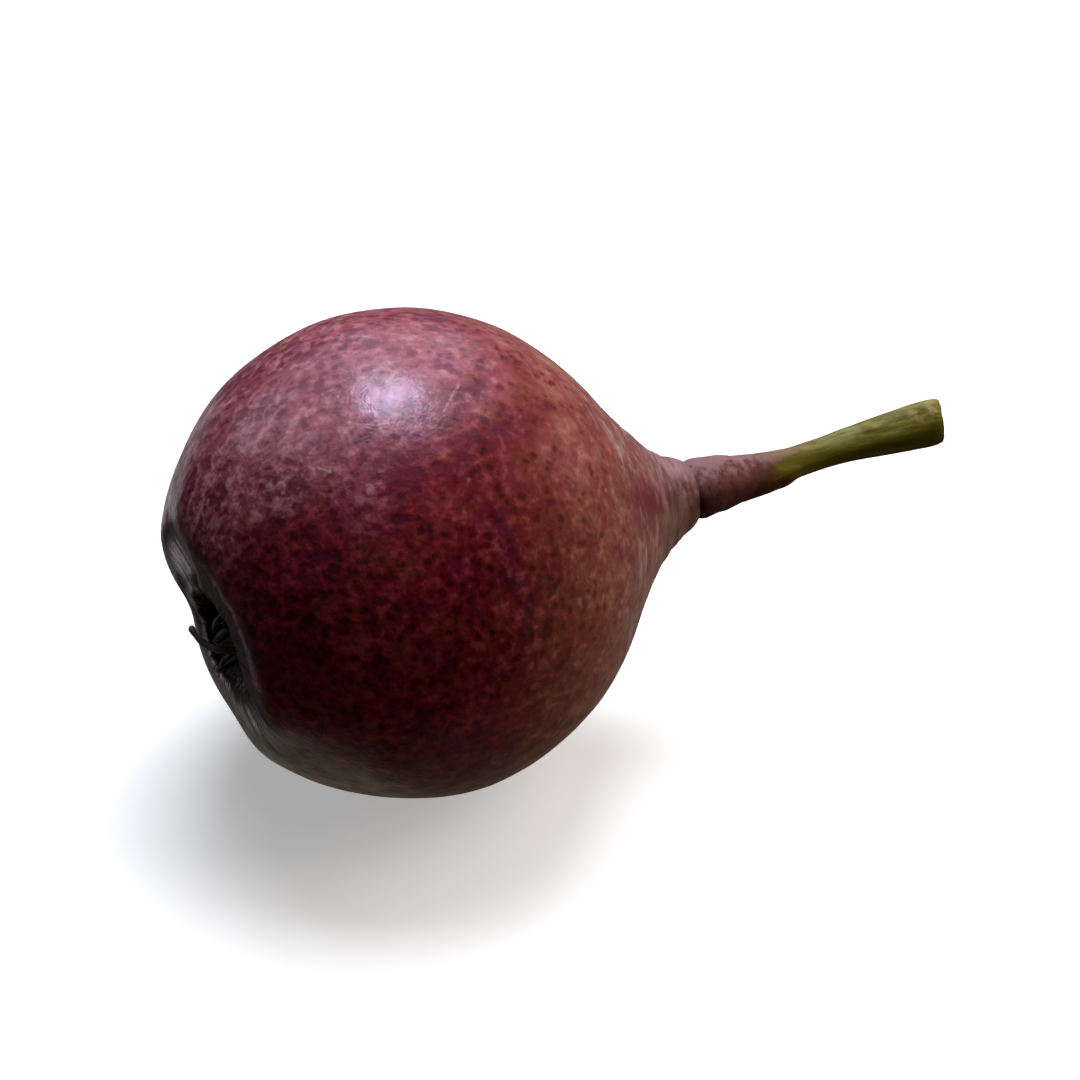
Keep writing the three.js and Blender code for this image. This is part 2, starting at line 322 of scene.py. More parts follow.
# where each tint lies over the red, in the order they go on: its direction from the belly's middle,
# and how far out along it the tint starts and is full
skinZones = {
    "brown": ((0.85, 0.0, -0.5), -11 * mm, 23 * mm),
    # the deep maroon's painted shade, towards the lower front of the blossom side
    "deepShade": ((-0.85, -0.52, -0.13), 4 * mm, 20 * mm),
    # the bloom with its painted sheen, on the top that faces the lights
    "bloomAndSheen": ((-0.234, 0.618, 0.75), 7 * mm, 15 * mm),
    # the shoulder's painted light, on the upper side towards the neck
    "litShoulder": ((0.66, 0.1, 0.75), 21 * mm, 28 * mm),
    "olive": ((0.1, 0.2, -0.95), 14 * mm, 32 * mm),
    "neck": ((1, 0, 0), 10 * mm, 30 * mm),
}
skinMarks = {
    "plum": (0.074, 0.0016, 0.018),
    "umber": (0.100, 0.0200, 0.004),
    "tan": (0.45, 0.26, 0.15),
    "scratch": (0.42, 0.19, 0.17),
    "ring": (0.36, 0.25, 0.24),
    "blush": (0.112, 0.0150, 0.0250),
    # the neck's end: a painted lit mauve on top and a painted shade of brown underneath
    "neckMauveLit": (0.205, 0.127, 0.142),
    "neckEndShaded": (0.095, 0.0420, 0.0330),
    "crimson": (0.150, 0.0180, 0.0260),
    "tanGround": (0.215, 0.110, 0.066),
    # painted shade in the folds' grooves
    "foldShade": (0.022, 0.006, 0.008),
    "greyReflection": (0.250, 0.260, 0.190),
    # the crease: painted shade where the neck meets the stalk, also dark streaks in the neck's rings
    "crease": (0.028, 0.008, 0.007),
    # painted shade inside the dimple and the clefts
    "basin": (0.0050, 0.0035, 0.0030),
}
mottle = {
    "spotSize": 1.5 * mm,  # from one breathing spot to the next
    "spotReach": 0.62,  # as a share of that
    "shakeSize": 2.0 * mm,
    "shake": 0.8 * mm,
    "brokenSize": 0.8 * mm,
    "patchSize": 5.0 * mm,  # where the spots are deeper and shallower
    "clouds": ((2.4 * mm, 1.6), (1.1 * mm, 1.9), (0.45 * mm, 0.75)),  # each one's size and strength
    "lift": 0.2,
}
rubs = [
    {"from": (3.8 * mm, -9.9 * mm, 57.5 * mm), "to": (1.0 * mm, -12.9 * mm, 56.4 * mm),
     "width": 0.28 * mm, "share": 0.6, "colour": "scratch"},
    {"from": (-14.0 * mm, -12.9 * mm, 52.2 * mm), "to": (-13.1 * mm, -13.9 * mm, 52.1 * mm),
     "width": 0.34 * mm, "share": 0.7, "colour": "tan"},
]
# two clefts in the lobe on the dimple's far side, painted dark as shade
clefts = [
    {"from": (-26.6 * mm, 6.0 * mm, 28.2 * mm), "to": (-25.7 * mm, 9.6 * mm, 23.0 * mm),
     "width": 1.9 * mm, "share": 0.97},
    {"from": (-24.9 * mm, 7.9 * mm, 22.3 * mm), "to": (-24.8 * mm, 6.2 * mm, 19.8 * mm),
     "width": 1.6 * mm, "share": 0.9},
]
blushPlace = (27.4 * mm, -11.4 * mm, 37.4 * mm)  # a crimson patch low on the neck
palePlace = (24.5 * mm, -7.5 * mm, 44.5 * mm)  # and a pale one where it starts
bloomAndSheenPlace = (-10.5 * mm, -13.0 * mm, 24.5 * mm)  # where the waxy bloom and its painted sheen reach down, from the belly's centre
greyPlace = (-22.0 * mm, -11.0 * mm, 13.0 * mm)  # a greenish grey patch under the dimple, a painted reflection
wallPlace = (-22.4 * mm, -6.5 * mm, 17.0 * mm)  # and another, where the dimple's painted shade stops short
dimpleShadeReach = (7.3 * mm, 9.1 * mm)  # from the calyx's foot, where the dimple's painted shade is full and where it ends
# bump depths on the skin and on its wax
skinRelief = {
    "pores": 0.05 * mm,
    "grain": 0.05 * mm,
    "waxRipple": 0.055 * mm,
    "waxGrain": 0.03 * mm,
    "folds": 0.9 * mm,
}


def tintSkin(tree, fromCentre, patchShift):
    # redder on the blossom side, browner towards the neck, olive below, mauve grey on the neck, a shoulder
    # lightened as painted light, deep maroon as painted shade, and a waxy bloom on top with painted sheen
    shares = {}
    for name, (direction, start, full) in skinZones.items():
        along = mathOf(tree, "ADD", alongOf(tree, fromCentre, direction), patchShift)
        shares[name] = rangeOf(tree, along, start, full)
    # the waxy bloom and its painted sheen thin out on the far side, and reach down at one place
    far = rangeOf(tree, alongOf(tree, fromCentre, (0, 1, 0)), 15 * mm, 30 * mm, 1.0, 0.25)
    fromBloomAndSheen = mathOf(tree, "ADD", distanceOf(tree, fromCentre, bloomAndSheenPlace), patchShift)
    reach = rangeOf(tree, fromBloomAndSheen, 2.5 * mm, 7 * mm, 0.85, 0.0)
    shares["bloomAndSheen"] = mathOf(tree, "MAXIMUM", both(tree, shares["bloomAndSheen"], far), reach)
    tones = skinTints["red"]
    for name, share in shares.items():
        tones = [mixOf(tree, share, tone, tint) for tone, tint in zip(tones, skinTints[name])]
    return tones


def colourGround(tree, ground, place, x):
    # plum and umber come and go under the red, crimson and tan towards the neck
    hue = noiseOf(tree, stretched(tree, place, (1, 1, 1), (0.4, 0.9, 0.2)), 4.0 * mm, 4, 0.6)
    patchy = noiseOf(tree, stretched(tree, place, (1.3, 1, 1), (0.2, 0.5, 0.9)), 2.8 * mm, 4, 0.65)
    fullness = rangeOf(tree, x, 8 * mm, 20 * mm, 1.0, 0.3)
    shares = {
        "plum": both(tree, rangeOf(tree, hue, 0.50, 0.38, 0.0, 0.75), fullness),
        "umber": both(tree, rangeOf(tree, hue, 0.52, 0.66, 0.0, 0.65), fullness),
        "crimson": both(tree, rangeOf(tree, patchy, 0.50, 0.36, 0.0, 0.8),
                        rangeOf(tree, x, 4 * mm, 16 * mm)),
        "tanGround": both(tree, rangeOf(tree, patchy, 0.50, 0.66, 0.0, 0.6),
                          rangeOf(tree, x, 9 * mm, 20 * mm)),
    }
    for name, share in shares.items():
        ground = mixOf(tree, share, ground, skinMarks[name])
    return ground


def mottleOf(tree, place, contrast):
    # near 0 in the dark spots, about 0.5 on the ground, towards 1 in the flecks
    look = mottle
    shaken = warped(tree, place, look["shakeSize"], look["shake"])
    spots = spotsOf(tree, shaken, look["spotSize"], 0.0, look["spotReach"])
    spotDepth = rangeOf(tree, noiseOf(tree, place, look["patchSize"], 1), 0.35, 0.65, 0.45, 1.25)
    broken = rangeOf(tree, noiseOf(tree, place, look["brokenSize"], 1), 0.38, 0.60, 0.6, 1.05)
    spots = both(tree, spots, broken)
    tone = look["lift"]
    for size, strength in look["clouds"]:
        tone = mathOf(tree, "ADD", tone, -strength / 2)
        tone = mathOf(tree, "MULTIPLY_ADD", noiseOf(tree, place, size, 1), strength, tone)
    tone = mathOf(tree, "SUBTRACT", tone, both(tree, spots, spotDepth))
    return mathOf(tree, "MULTIPLY_ADD", tone, contrast, 0.5)


def markNeck(tree, skin, place, fromCentre, x):
    # pale and red rings that come and go, and towards the stalk a mauve lit top and a brown underside,
    # painted light and shade
    rings = noiseOf(tree, stretched(tree, place, (2.4, 0.7, 0.7)), 3.2 * mm, 3, 0.6, 0.5)
    comeAndGo = rangeOf(tree, noiseOf(tree, place, 6 * mm, 1), 0.40, 0.60)
    redShare = both(tree, rangeOf(tree, rings, 0.56, 0.42), rangeOf(tree, x, 16 * mm, 24 * mm, 0.0, 0.60))
    skin = mixOf(tree, redShare, skin, skinMarks["blush"])
    ringShare = both(tree, rangeOf(tree, rings, 0.50, 0.62), rangeOf(tree, x, 17 * mm, 25 * mm, 0.0, 0.46))
    skin = mixOf(tree, both(tree, ringShare, comeAndGo), skin, skinMarks["ring"])

    # the two patches break up along the rings
    frayed = unevenOf(tree, place, 2.5 * mm, -1.8 * mm, 1.8 * mm, 3, 0.6)
    fromBlush = mathOf(tree, "ADD", distanceOf(tree, place, blushPlace), frayed)
    blushShare = both(tree, rangeOf(tree, fromBlush, 2.6 * mm, 6.0 * mm, 1.0, 0.0),
                      rangeOf(tree, rings, 0.66, 0.48, 0.55, 1.0))
    skin = mixOf(tree, blushShare, skin, skinMarks["blush"])
    fromPale = mathOf(tree, "SUBTRACT", distanceOf(tree, place, palePlace), frayed)
    paleShare = both(tree, rangeOf(tree, fromPale, 0.5 * mm, 5.5 * mm, 0.65, 0.0),
                     rangeOf(tree, rings, 0.40, 0.58, 0.15, 1.0))
    skin = mixOf(tree, paleShare, skin, skinMarks["ring"])

    underneath = alongOf(tree, fromCentre, shadedSide)
    # the end of the neck is a lit mauve on top and a painted shade of brown underneath
    shadedEndShare = rangeOf(tree, mathOf(tree, "ADD", underneath, frayed), -3 * mm, 1.5 * mm)
    endTint = mixOf(tree, shadedEndShare, skinMarks["neckMauveLit"], skinMarks["neckEndShaded"])
    endTint = mixOf(tree, rangeOf(tree, rings, 0.56, 0.38, 0.0, 0.6), endTint, skinMarks["crease"])
    skin = mixOf(tree, rangeOf(tree, x, 27 * mm, 34 * mm, 0.0, 0.78), skin, endTint)
    # painted shade in the crease, on its lower side
    creaseShare = both(tree, rangeOf(tree, x, creaseAt - 1.6 * mm, creaseAt - 0.2 * mm),
                       rangeOf(tree, underneath, -0.5 * mm, 2.0 * mm, 0.0, 0.95))
    return mixOf(tree, creaseShare, skin, skinMarks["crease"])


def markSkin(tree, skin, place, fromCentre):
    # corky dots on the neck side, and two places where something rubbed the skin
    dots = spotsOf(tree, warped(tree, place, 1 * mm, 0.6 * mm), 3.6 * mm, 0.0, 0.12)
    dotShare = rangeOf(tree, alongOf(tree, fromCentre, (0.5, -0.2, 0.5)), 9 * mm, 20 * mm, 0.0, 0.45)
    skin = mixOf(tree, both(tree, dots, dotShare), skin, skinMarks["tan"])
    frayed = unevenOf(tree, place, 0.5 * mm, -0.10 * mm, 0.10 * mm)
    for rub in rubs:
        off = mathOf(tree, "ADD", lineDistance(tree, place, rub["from"], rub["to"]), frayed)
        rubShare = rangeOf(tree, off, 0.0, rub["width"], rub["share"], 0.0)
        skin = mixOf(tree, rubShare, skin, skinMarks[rub["colour"]])
    return skin


def foldsOf(tree, place):
    # folds that run out of the dimple like spokes, strongest at its lip
    offset = vectorOf(tree, "SUBTRACT", place, calyxFoot)
    height = vectorOf(tree, "DOT_PRODUCT", offset, calyxAxis)
    flat = vectorOf(tree, "SUBTRACT", offset, scaledOf(tree, calyxAxis, height))
    radius = vectorOf(tree, "LENGTH", flat)
    folds = noiseOf(tree, vectorOf(tree, "NORMALIZE", flat), 0.22, 2, 0.6)
    nearby = both(tree, rangeOf(tree, radius, 4 * mm, 7 * mm), rangeOf(tree, radius, 17 * mm, 11 * mm))
    return folds, both(tree, nearby, rangeOf(tree, height, -4 * mm, 0.0))


def dimpleShadeAndReflection(tree, skin, place):
    # a painted grey reflection under the dimple, then the dimple and the two clefts painted dark as shade,
    # and dull
    edge = unevenOf(tree, place, 2 * mm, -0.6 * mm, 0.6 * mm)
    fromGrey = mathOf(tree, "MULTIPLY_ADD", edge, 2.0, distanceOf(tree, place, greyPlace))
    fromWall = mathOf(tree, "ADD", distanceOf(tree, place, wallPlace), edge)
    greyReflectionShare = mathOf(tree, "MAXIMUM", rangeOf(tree, fromGrey, 1.0 * mm, 6.5 * mm, 0.7, 0.0),
                       rangeOf(tree, fromWall, 1.5 * mm, 4.5 * mm, 0.8, 0.0))
    # a painted grey reflection on the lobes under the dimple
    skin = mixOf(tree, greyReflectionShare, skin, skinMarks["greyReflection"])
    fromFoot = mathOf(tree, "ADD", distanceOf(tree, place, calyxFoot), edge)
    # the dimple's painted shade, full near the calyx
    shadeAndDull = both(tree, rangeOf(tree, fromFoot, *dimpleShadeReach, 0.97, 0.0),
                rangeOf(tree, fromWall, 1.5 * mm, 4.5 * mm))
    for cleft in clefts:
        fromLine = lineDistance(tree, place, cleft["from"], cleft["to"])
        fromCleft = mathOf(tree, "MULTIPLY_ADD", edge, 0.4, fromLine)
        cleftShare = rangeOf(tree, fromCleft, 0.5 * mm, cleft["width"], cleft["share"], 0.0)
        shadeAndDull = mathOf(tree, "MAXIMUM", shadeAndDull, cleftShare)
    return mixOf(tree, shadeAndDull, skin, skinMarks["basin"]), shadeAndDull


def wearWax(tree, fromCentre):
    # the wax is worn off the lip above the dimple and on one side of it, and thick on the other side
    x, y, z = addNode(tree, "ShaderNodeSeparateXYZ", {0: fromCentre}).outputs
    atLip = rangeOf(tree, x, -20.5 * mm, -23.0 * mm)
    nearSide = both(tree, rangeOf(tree, y, 0.0, -3.5 * mm), rangeOf(tree, z, -12.5 * mm, -8.5 * mm))
    aboveIt = rangeOf(tree, z, 8.0 * mm, 11.5 * mm, 0.0, 0.65)
    farSide = both(tree, rangeOf(tree, y, 3.5 * mm, 6.0 * mm), rangeOf(tree, z, 8.0 * mm, 4.0 * mm))
    wearAndSheen = both(tree, mathOf(tree, "MAXIMUM", nearSide, aboveIt), atLip)
    return wearAndSheen, both(tree, farSide, atLip)


def skinMaterial():
    material, tree, shader, place = newMaterial("waxySkin")
    fromCentre = vectorOf(tree, "SUBTRACT", place, bellyCentre)
    x = addNode(tree, "ShaderNodeSeparateXYZ", {0: fromCentre}).outputs["X"]
    patches = noiseOf(tree, place, 14 * mm, 3)
    patchShift = rangeOf(tree, patches, 0.3, 0.7, -4 * mm, 4 * mm)

    spot, ground, fleck = tintSkin(tree, fromCentre, patchShift)
    ground = colourGround(tree, ground, place, x)
    # the mottle is strongest on the blossom side and softer on top
    onTop = rangeOf(tree, alongOf(tree, fromCentre, (0, 0, 1)), 8 * mm, 26 * mm, 1.0, 0.8)
    contrast = both(tree, rangeOf(tree, x, -18 * mm, 20 * mm, 1.4, 0.75), onTop)
    patchTone = rangeOf(tree, patches, 0.3, 0.7, -0.10, 0.10)
    tone = mathOf(tree, "ADD", mottleOf(tree, place, contrast), patchTone)
    skin = mixOf(tree, rangeOf(tree, tone, -0.10, 0.50), spot, ground)
    skin = mixOf(tree, rangeOf(tree, tone, 0.48, 1.60), skin, fleck)
    skin = markNeck(tree, skin, place, fromCentre, x)
    skin = markSkin(tree, skin, place, fromCentre)
    folds, foldShare = foldsOf(tree, place)
    # the folds' grooves are painted dark as shade
    foldShadeShare = both(tree, rangeOf(tree, folds, 0.54, 0.40, 0.0, 0.7), foldShare)
    skin = mixOf(tree, foldShadeShare, skin, skinMarks["foldShade"])
    skin, shadeAndDull = dimpleShadeAndReflection(tree, skin, place)
    tree.links.new(skin, shader.inputs["Base Color"])

    wearAndSheen, thick = wearWax(tree, fromCentre)
    rough = unevenOf(tree, place, 3 * mm, 0.46, 0.58, 3)
    rough = mathOf(tree, "MAXIMUM", rough, mathOf(tree, "MULTIPLY", wearAndSheen, 0.85))
    tree.links.new(rough, shader.inputs["Roughness"])
    waxy = mathOf(tree, "MAXIMUM", unevenOf(tree, place, 2.5 * mm, 0.42, 0.75, 3), thick)
    waxy = both(tree, waxy, rangeOf(tree, wearAndSheen, 0.0, 1.0, 1.0, 0.25))
    waxy = both(tree, waxy, rangeOf(tree, shadeAndDull, 0.0, 0.9, 1.0, 0.0))
    tree.links.new(waxy, shader.inputs["Coat Weight"])
    shader.inputs["Specular IOR Level"].default_value = 0.1
    shader.inputs["Coat Roughness"].default_value = 0.28

    # pores, grain and folds on the skin, and a ripple, less grain and the same folds on its wax
    depths = skinRelief
    grain = noiseOf(tree, stretched(tree, place, (1, 1, 0.6), (0.5, 0.3, 0.4)), 0.7 * mm, 3, 0.6)
    ripple = noiseOf(tree, place, 1.5 * mm, 2, 0.6, 1.0)
    foldHeight = both(tree, folds, foldShare)
    pores = bumpOf(tree, tone, depths["pores"])
    pores = bumpOf(tree, grain, depths["grain"], pores)
    tree.links.new(bumpOf(tree, foldHeight, depths["folds"], pores), shader.inputs["Normal"])
    wax = bumpOf(tree, ripple, depths["waxRipple"])
    wax = bumpOf(tree, grain, depths["waxGrain"], wax)
    tree.links.new(bumpOf(tree, foldHeight, depths["folds"], wax), shader.inputs["Coat Normal"])
    return material


# stalk

stalkLook = {
    "levels": 3,
    "ridgeSize": 1.6 * mm,
    "ridgeHeight": 0.22 * mm,
    "knobSize": 3.0 * mm,
    "knobHeight": 0.30 * mm,
    "cutSize": 1.5 * mm,
    "cutHeight": 0.55 * mm,
    "swelling": 0.45 * mm,  # the fleshy foot's lower edge, which ends in a small step
    "saddle": 0.45 * mm,  # its upper side runs on into the neck
    "lift": 0.28 * mm,
    "cutOut": 0.3 * mm,
    "cutSlant": (0.35, -0.07),  # how far the cut runs out for each step along Y and Z
}
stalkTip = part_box("stalk")[1].x
stalkRise = 0.0575  # how much the stalk rises for each step along X
mintPlace = (61.0 * mm, 0.8 * mm, 33.8 * mm)  # a soft pale green patch


def stalkMiddle(x):
    return Vector((x, 0.5 * mm, bellyCentre.z + stalkRise * (x - creaseAt)))


def woodyWeight(point):
    return smoothStep(point.x, creaseAt + 5 * mm, creaseAt + 14 * mm)


def fleshyWeight(point):
    return bandWeight(point.x, creaseAt + 0.5 * mm, creaseAt + 2 * mm, creaseAt + 9 * mm,
                      creaseAt + 18 * mm)


def cutWeight(point):
    return smoothStep(point.x, stalkTip - 0.9 * mm, stalkTip - 0.3 * mm)


def swellingWeight(point):
    offset = point - stalkMiddle(point.x)
    along = bandWeight(point.x, creaseAt + 6 * mm, creaseAt + 11 * mm, creaseAt + 13.0 * mm,
                       creaseAt + 15.8 * mm)
    return along * smoothStep(offset.dot(Vector(shadedSide)), -0.3 * mm, 2.0 * mm)


def saddleWeight(point):
    offset = point - stalkMiddle(point.x)
    along = 1 - smoothStep(point.x, creaseAt + 2 * mm, creaseAt + 9 * mm)
    return along * smoothStep(offset.dot(Vector((0, -0.35, 0.94))), -0.8 * mm, 2.4 * mm)


def makeStalk():
    look = stalkLook
    stalk = smoothCopy("stalk", "pearStalk", look["levels"])
    weighVertices(stalk, "woody", woodyWeight)
    weighVertices(stalk, "fleshy", fleshyWeight)
    weighVertices(stalk, "cut", cutWeight)
    weighVertices(stalk, "swelling", swellingWeight)
    weighVertices(stalk, "saddle", saddleWeight)
    for name in ("swelling", "saddle"):
        addModifier(stalk, "DISPLACE", strength=look[name], mid_level=0.0, vertex_group=name)
    roughen(stalk, look["ridgeSize"], look["ridgeHeight"], (9, 1, 1), "woody", detail=2)
    roughen(stalk, look["knobSize"], look["knobHeight"], (0.8, 1, 1), "fleshy")
    roughen(stalk, look["cutSize"], look["cutHeight"], groupName="cut")
    slantY, slantZ = look["cutSlant"]
    for vertex in stalk.data.vertices:
        # the cut is a little slanted
        offset = vertex.co - stalkMiddle(vertex.co.x)
        atTip = smoothStep(vertex.co.x, stalkTip - 4 * mm, stalkTip - 0.5 * mm)
        vertex.co.x += atTip * (look["cutOut"] + slantY * offset.y + slantZ * offset.z)
        vertex.co.z += look["lift"] * smoothStep(vertex.co.x, creaseAt + 12 * mm, creaseAt + 24 * mm)
    finishPiece(stalk, stalkMaterial(), "stalk")
    print("stalk made")


# each from the shaded lower side to the lit upper side
stalkColours = {
    "flesh": ((0.082, 0.026, 0.023), (0.108, 0.043, 0.036), (0.178, 0.106, 0.112)),
    "green": ((0.084, 0.062, 0.0008), (0.084, 0.079, 0.0030), (0.170, 0.175, 0.050)),
}
stalkMarks = {
    "fleshDark": (0.060, 0.018, 0.014),
    "pink": (0.160, 0.105, 0.065),
    "greenDark": (0.052, 0.043, 0.0010),
    "umber": (0.046, 0.019, 0.005),
    "greenPale": (0.190, 0.180, 0.050),
    "mint": (0.23, 0.28, 0.11),
    "tan": (0.30, 0.25, 0.11),
    "cut": (0.045, 0.028, 0.010),
    # painted shade, for the cut's lower corner and the crease on the lower side
    "stalkShade": (0.016, 0.011, 0.006),
}


def threeTones(tree, value, tones):
    tone = mixOf(tree, rangeOf(tree, value, -1.1, 0.1), tones[0], tones[1])
    return mixOf(tree, rangeOf(tree, value, 0.1, 1.2), tone, tones[2])


def colourFlesh(tree, place, x, side):
    # the fleshy foot is softly mottled mauve and brown, umber below, and pink goes on along its top
    mottled = noiseOf(tree, stretched(tree, place, (1.0, 0.8, 0.8)), 1.2 * mm, 5, 0.7)
    lit = mathOf(tree, "ADD", side, rangeOf(tree, mottled, 0.28, 0.72, -0.75, 0.75))
    flesh = threeTones(tree, lit, stalkColours["flesh"])
    flesh = mixOf(tree, rangeOf(tree, mottled, 0.48, 0.33, 0.0, 0.6), flesh, stalkMarks["fleshDark"])
    umberShare = both(tree, rangeOf(tree, x, creaseAt + 6 * mm, creaseAt + 11 * mm, 0.0, 0.75),
                      rangeOf(tree, side, 0.5, -0.2))
    flesh = mixOf(tree, umberShare, flesh, stalkMarks["umber"])
    pinkShare = both(tree, rangeOf(tree, x, creaseAt + 9 * mm, creaseAt + 12 * mm),
                     rangeOf(tree, side, 0.0, 0.6))
    return mixOf(tree, pinkShare, flesh, stalkMarks["pink"])


def colourWood(tree, place, x, side, streak):
    # green with long streaks, a tan painted sheen along the top of the flare, and one soft mint patch
    lit = mathOf(tree, "ADD", side, rangeOf(tree, streak, 0.25, 0.75, -0.55, 0.55))
    green = threeTones(tree, lit, stalkColours["green"])
    green = mixOf(tree, rangeOf(tree, streak, 0.54, 0.76, 0.0, 0.6), green, stalkMarks["greenPale"])
    green = mixOf(tree, rangeOf(tree, streak, 0.47, 0.32, 0.0, 0.75), green, stalkMarks["greenDark"])
    cloudy = noiseOf(tree, stretched(tree, place, (0.5, 1, 1)), 2.2 * mm, 3, 0.6)
    green = mixOf(tree, rangeOf(tree, cloudy, 0.50, 0.34, 0.0, 0.55), green, stalkMarks["greenDark"])
    blotch = noiseOf(tree, place, 1.4 * mm, 3)
    # a tan painted sheen on the flare's upper side near the cut
    wearAndSheen = both(tree, rangeOf(tree, x, stalkTip - 7 * mm, stalkTip - 3 * mm), rangeOf(tree, side, 0.0, 0.8))
    wearAndSheen = both(tree, wearAndSheen, rangeOf(tree, blotch, 0.46, 0.64, 0.0, 0.7))
    green = mixOf(tree, wearAndSheen, green, stalkMarks["tan"])
    frayed = rangeOf(tree, blotch, 0.3, 0.7, -0.5 * mm, 0.5 * mm)
    fromMint = mathOf(tree, "ADD", distanceOf(tree, place, mintPlace), frayed)
    return mixOf(tree, rangeOf(tree, fromMint, 0.0, 2.4 * mm, 0.55, 0.0), green, stalkMarks["mint"])


def stalkMaterial():
    material, tree, shader, place = newMaterial("stalkBark")
    x = addNode(tree, "ShaderNodeSeparateXYZ", {0: place}).outputs["X"]
    # how far above the stalk's middle line, and the same as a share of its half thickness
    above = alongOf(tree, place, (-0.86 * stalkRise, 0.52, 0.86), stalkMiddle(0))
    fromThin = mathOf(tree, "SUBTRACT", x, creaseAt + 18 * mm)
    halfThick = mathOf(tree, "MULTIPLY_ADD", both(tree, fromThin, fromThin), 3.1, 2.2 * mm)
    side = mathOf(tree, "DIVIDE", above, halfThick)
    streak = noiseOf(tree, stretched(tree, place, (0.13, 1, 1)), 1.1 * mm, 3, 0.6)
    flesh = colourFlesh(tree, place, x, side)
    green = colourWood(tree, place, x, side, streak)

    # a green tongue reaches back into the flesh
    lean = mathOf(tree, "ADD", above, 0.4 * mm)
    tongue = mathOf(tree, "MULTIPLY", both(tree, lean, lean), 1.2 / mm)
    change = mathOf(tree, "SUBTRACT", mathOf(tree, "SUBTRACT", x, tongue), creaseAt + 10.8 * mm)
    change = mathOf(tree, "ADD", change, unevenOf(tree, place, 2 * mm, -1.5 * mm, 1.5 * mm, 3))
    bark = mixOf(tree, rangeOf(tree, change, -2.4 * mm, 2.4 * mm), flesh, green)

    # the cut end, with painted shade at its lower corner, and painted shade in the crease at the other end
    bark = mixOf(tree, rangeOf(tree, x, stalkTip - 1.2 * mm, stalkTip, 0.0, 0.7), bark, stalkMarks["cut"])
    shadedCorner = both(tree, rangeOf(tree, x, stalkTip - 1.8 * mm, stalkTip - 0.6 * mm),
                     rangeOf(tree, side, 0.0, -0.7))
    bark = mixOf(tree, shadedCorner, bark, stalkMarks["stalkShade"])
    crease = both(tree, rangeOf(tree, x, creaseAt + 1.2 * mm, creaseAt + 0.1 * mm),
                  rangeOf(tree, side, 0.2, -0.6, 0.0, 0.9))
    bark = mixOf(tree, crease, bark, stalkMarks["stalkShade"])

    tree.links.new(bark, shader.inputs["Base Color"])
    shader.inputs["Roughness"].default_value = 0.62
    shader.inputs["Specular IOR Level"].default_value = 0.1
    ridges = bumpOf(tree, streak, 0.05 * mm)
    fine = bumpOf(tree, noiseOf(tree, place, 0.6 * mm, 3), 0.05 * mm, ridges)
    tree.links.new(fine, shader.inputs["Normal"])
    return material


# calyx

calyxLook = {
    "cupRadius": 3.6 * mm,
    "cupHeight": 1.4 * mm,
    "rimWidth": 0.9 * mm,
    "cupCrinkle": 0.5 * mm,
    "sepalCrinkle": 0.35 * mm,
    "stamens": 10,
    "stamenCrinkle": 0.2 * mm,
    "styles": 5,
}
# the dark and the pale of each one's fibres, and the grey of the weathered tips
driedTints = {
    "driedCup": ((0.008, 0.006, 0.005), (0.030, 0.022, 0.016)),
    "driedSepal": ((0.012, 0.011, 0.009), (0.100, 0.100, 0.088)),
    "driedStamen": ((0.012, 0.009, 0.007), (0.05, 0.038, 0.028)),
}
tipGrey = (0.15, 0.155, 0.145)
# turn about the calyx axis, lean at the root and the curl that adds to it at the tip, in degrees;
# the end is how much of the width is left at the tip; the last two are halves of one that split
sepalShapes = [
    {"turn": 220, "length": 9.3, "width": 2.6, "thick": 0.80, "end": 0.38, "lean": -15, "curl": -76},
    {"turn": 292, "length": 4.6, "width": 2.9, "thick": 0.40, "end": 0.14, "lean": -8, "curl": -45},
    {"turn": 44, "length": 4.8, "width": 1.9, "thick": 0.45, "end": 0.30, "lean": 12, "curl": -95},
    {"turn": 111, "length": 5.8, "width": 2.2, "thick": 0.45, "end": 0.20, "lean": -21, "curl": -52},
    {"turn": 162, "length": 8.9, "width": 1.3, "thick": 0.50, "end": 0.50, "lean": -4, "curl": -182},
    {"turn": 160, "length": 8.5, "width": 1.0, "thick": 0.30, "end": 0.35, "lean": 34, "curl": 68},
]


def growBlade(foot, length, steps, headingAt, widthAt, thick, sides):
    # a flat stub whose end is drawn out again and again, each time turned and narrowed
    deselectAll()
    bpy.ops.mesh.primitive_circle_add(vertices=sides, radius=1, fill_type="NGON", location=foot)
    blade = bpy.context.object
    bpy.ops.object.mode_set(mode="EDIT")
    bpy.ops.mesh.select_all(action="SELECT")
    middle = Vector(foot)
    bpy.ops.transform.resize(value=(thick / 2, widthAt(0) / 2, 1), center_override=middle)
    for k in range(steps):
        t = (k + 1) / steps
        heading = headingAt(t)
        step = Vector((math.sin(heading), 0, math.cos(heading))) * length / steps
        bpy.ops.mesh.extrude_region_move(TRANSFORM_OT_translate={"value": step})
        middle = middle + step
        turned = heading - headingAt(k / steps)
        bpy.ops.transform.rotate(value=-turned, orient_axis="Y", center_override=middle)
        wider = widthAt(t) / widthAt(k / steps)
        bpy.ops.transform.resize(value=(1, wider, 1), center_override=middle)
    bpy.ops.object.mode_set(mode="OBJECT")
    bpy.ops.object.transform_apply(location=True, rotation=True, scale=True)
    return blade


def standAt(piece, turn):
    # from the calyx's own frame, +Z out of the dimple, to its place in the fruit
    upright = Vector((0, 0, 1)).rotation_difference(calyxAxis).to_matrix().to_4x4()
    place = Matrix.Translation(calyxFoot) @ upright @ Matrix.Rotation(math.radians(turn), 4, "Z")
    piece.matrix_world = place
    makeActive(piece)
    bpy.ops.object.transform_apply(location=True, rotation=True, scale=True)


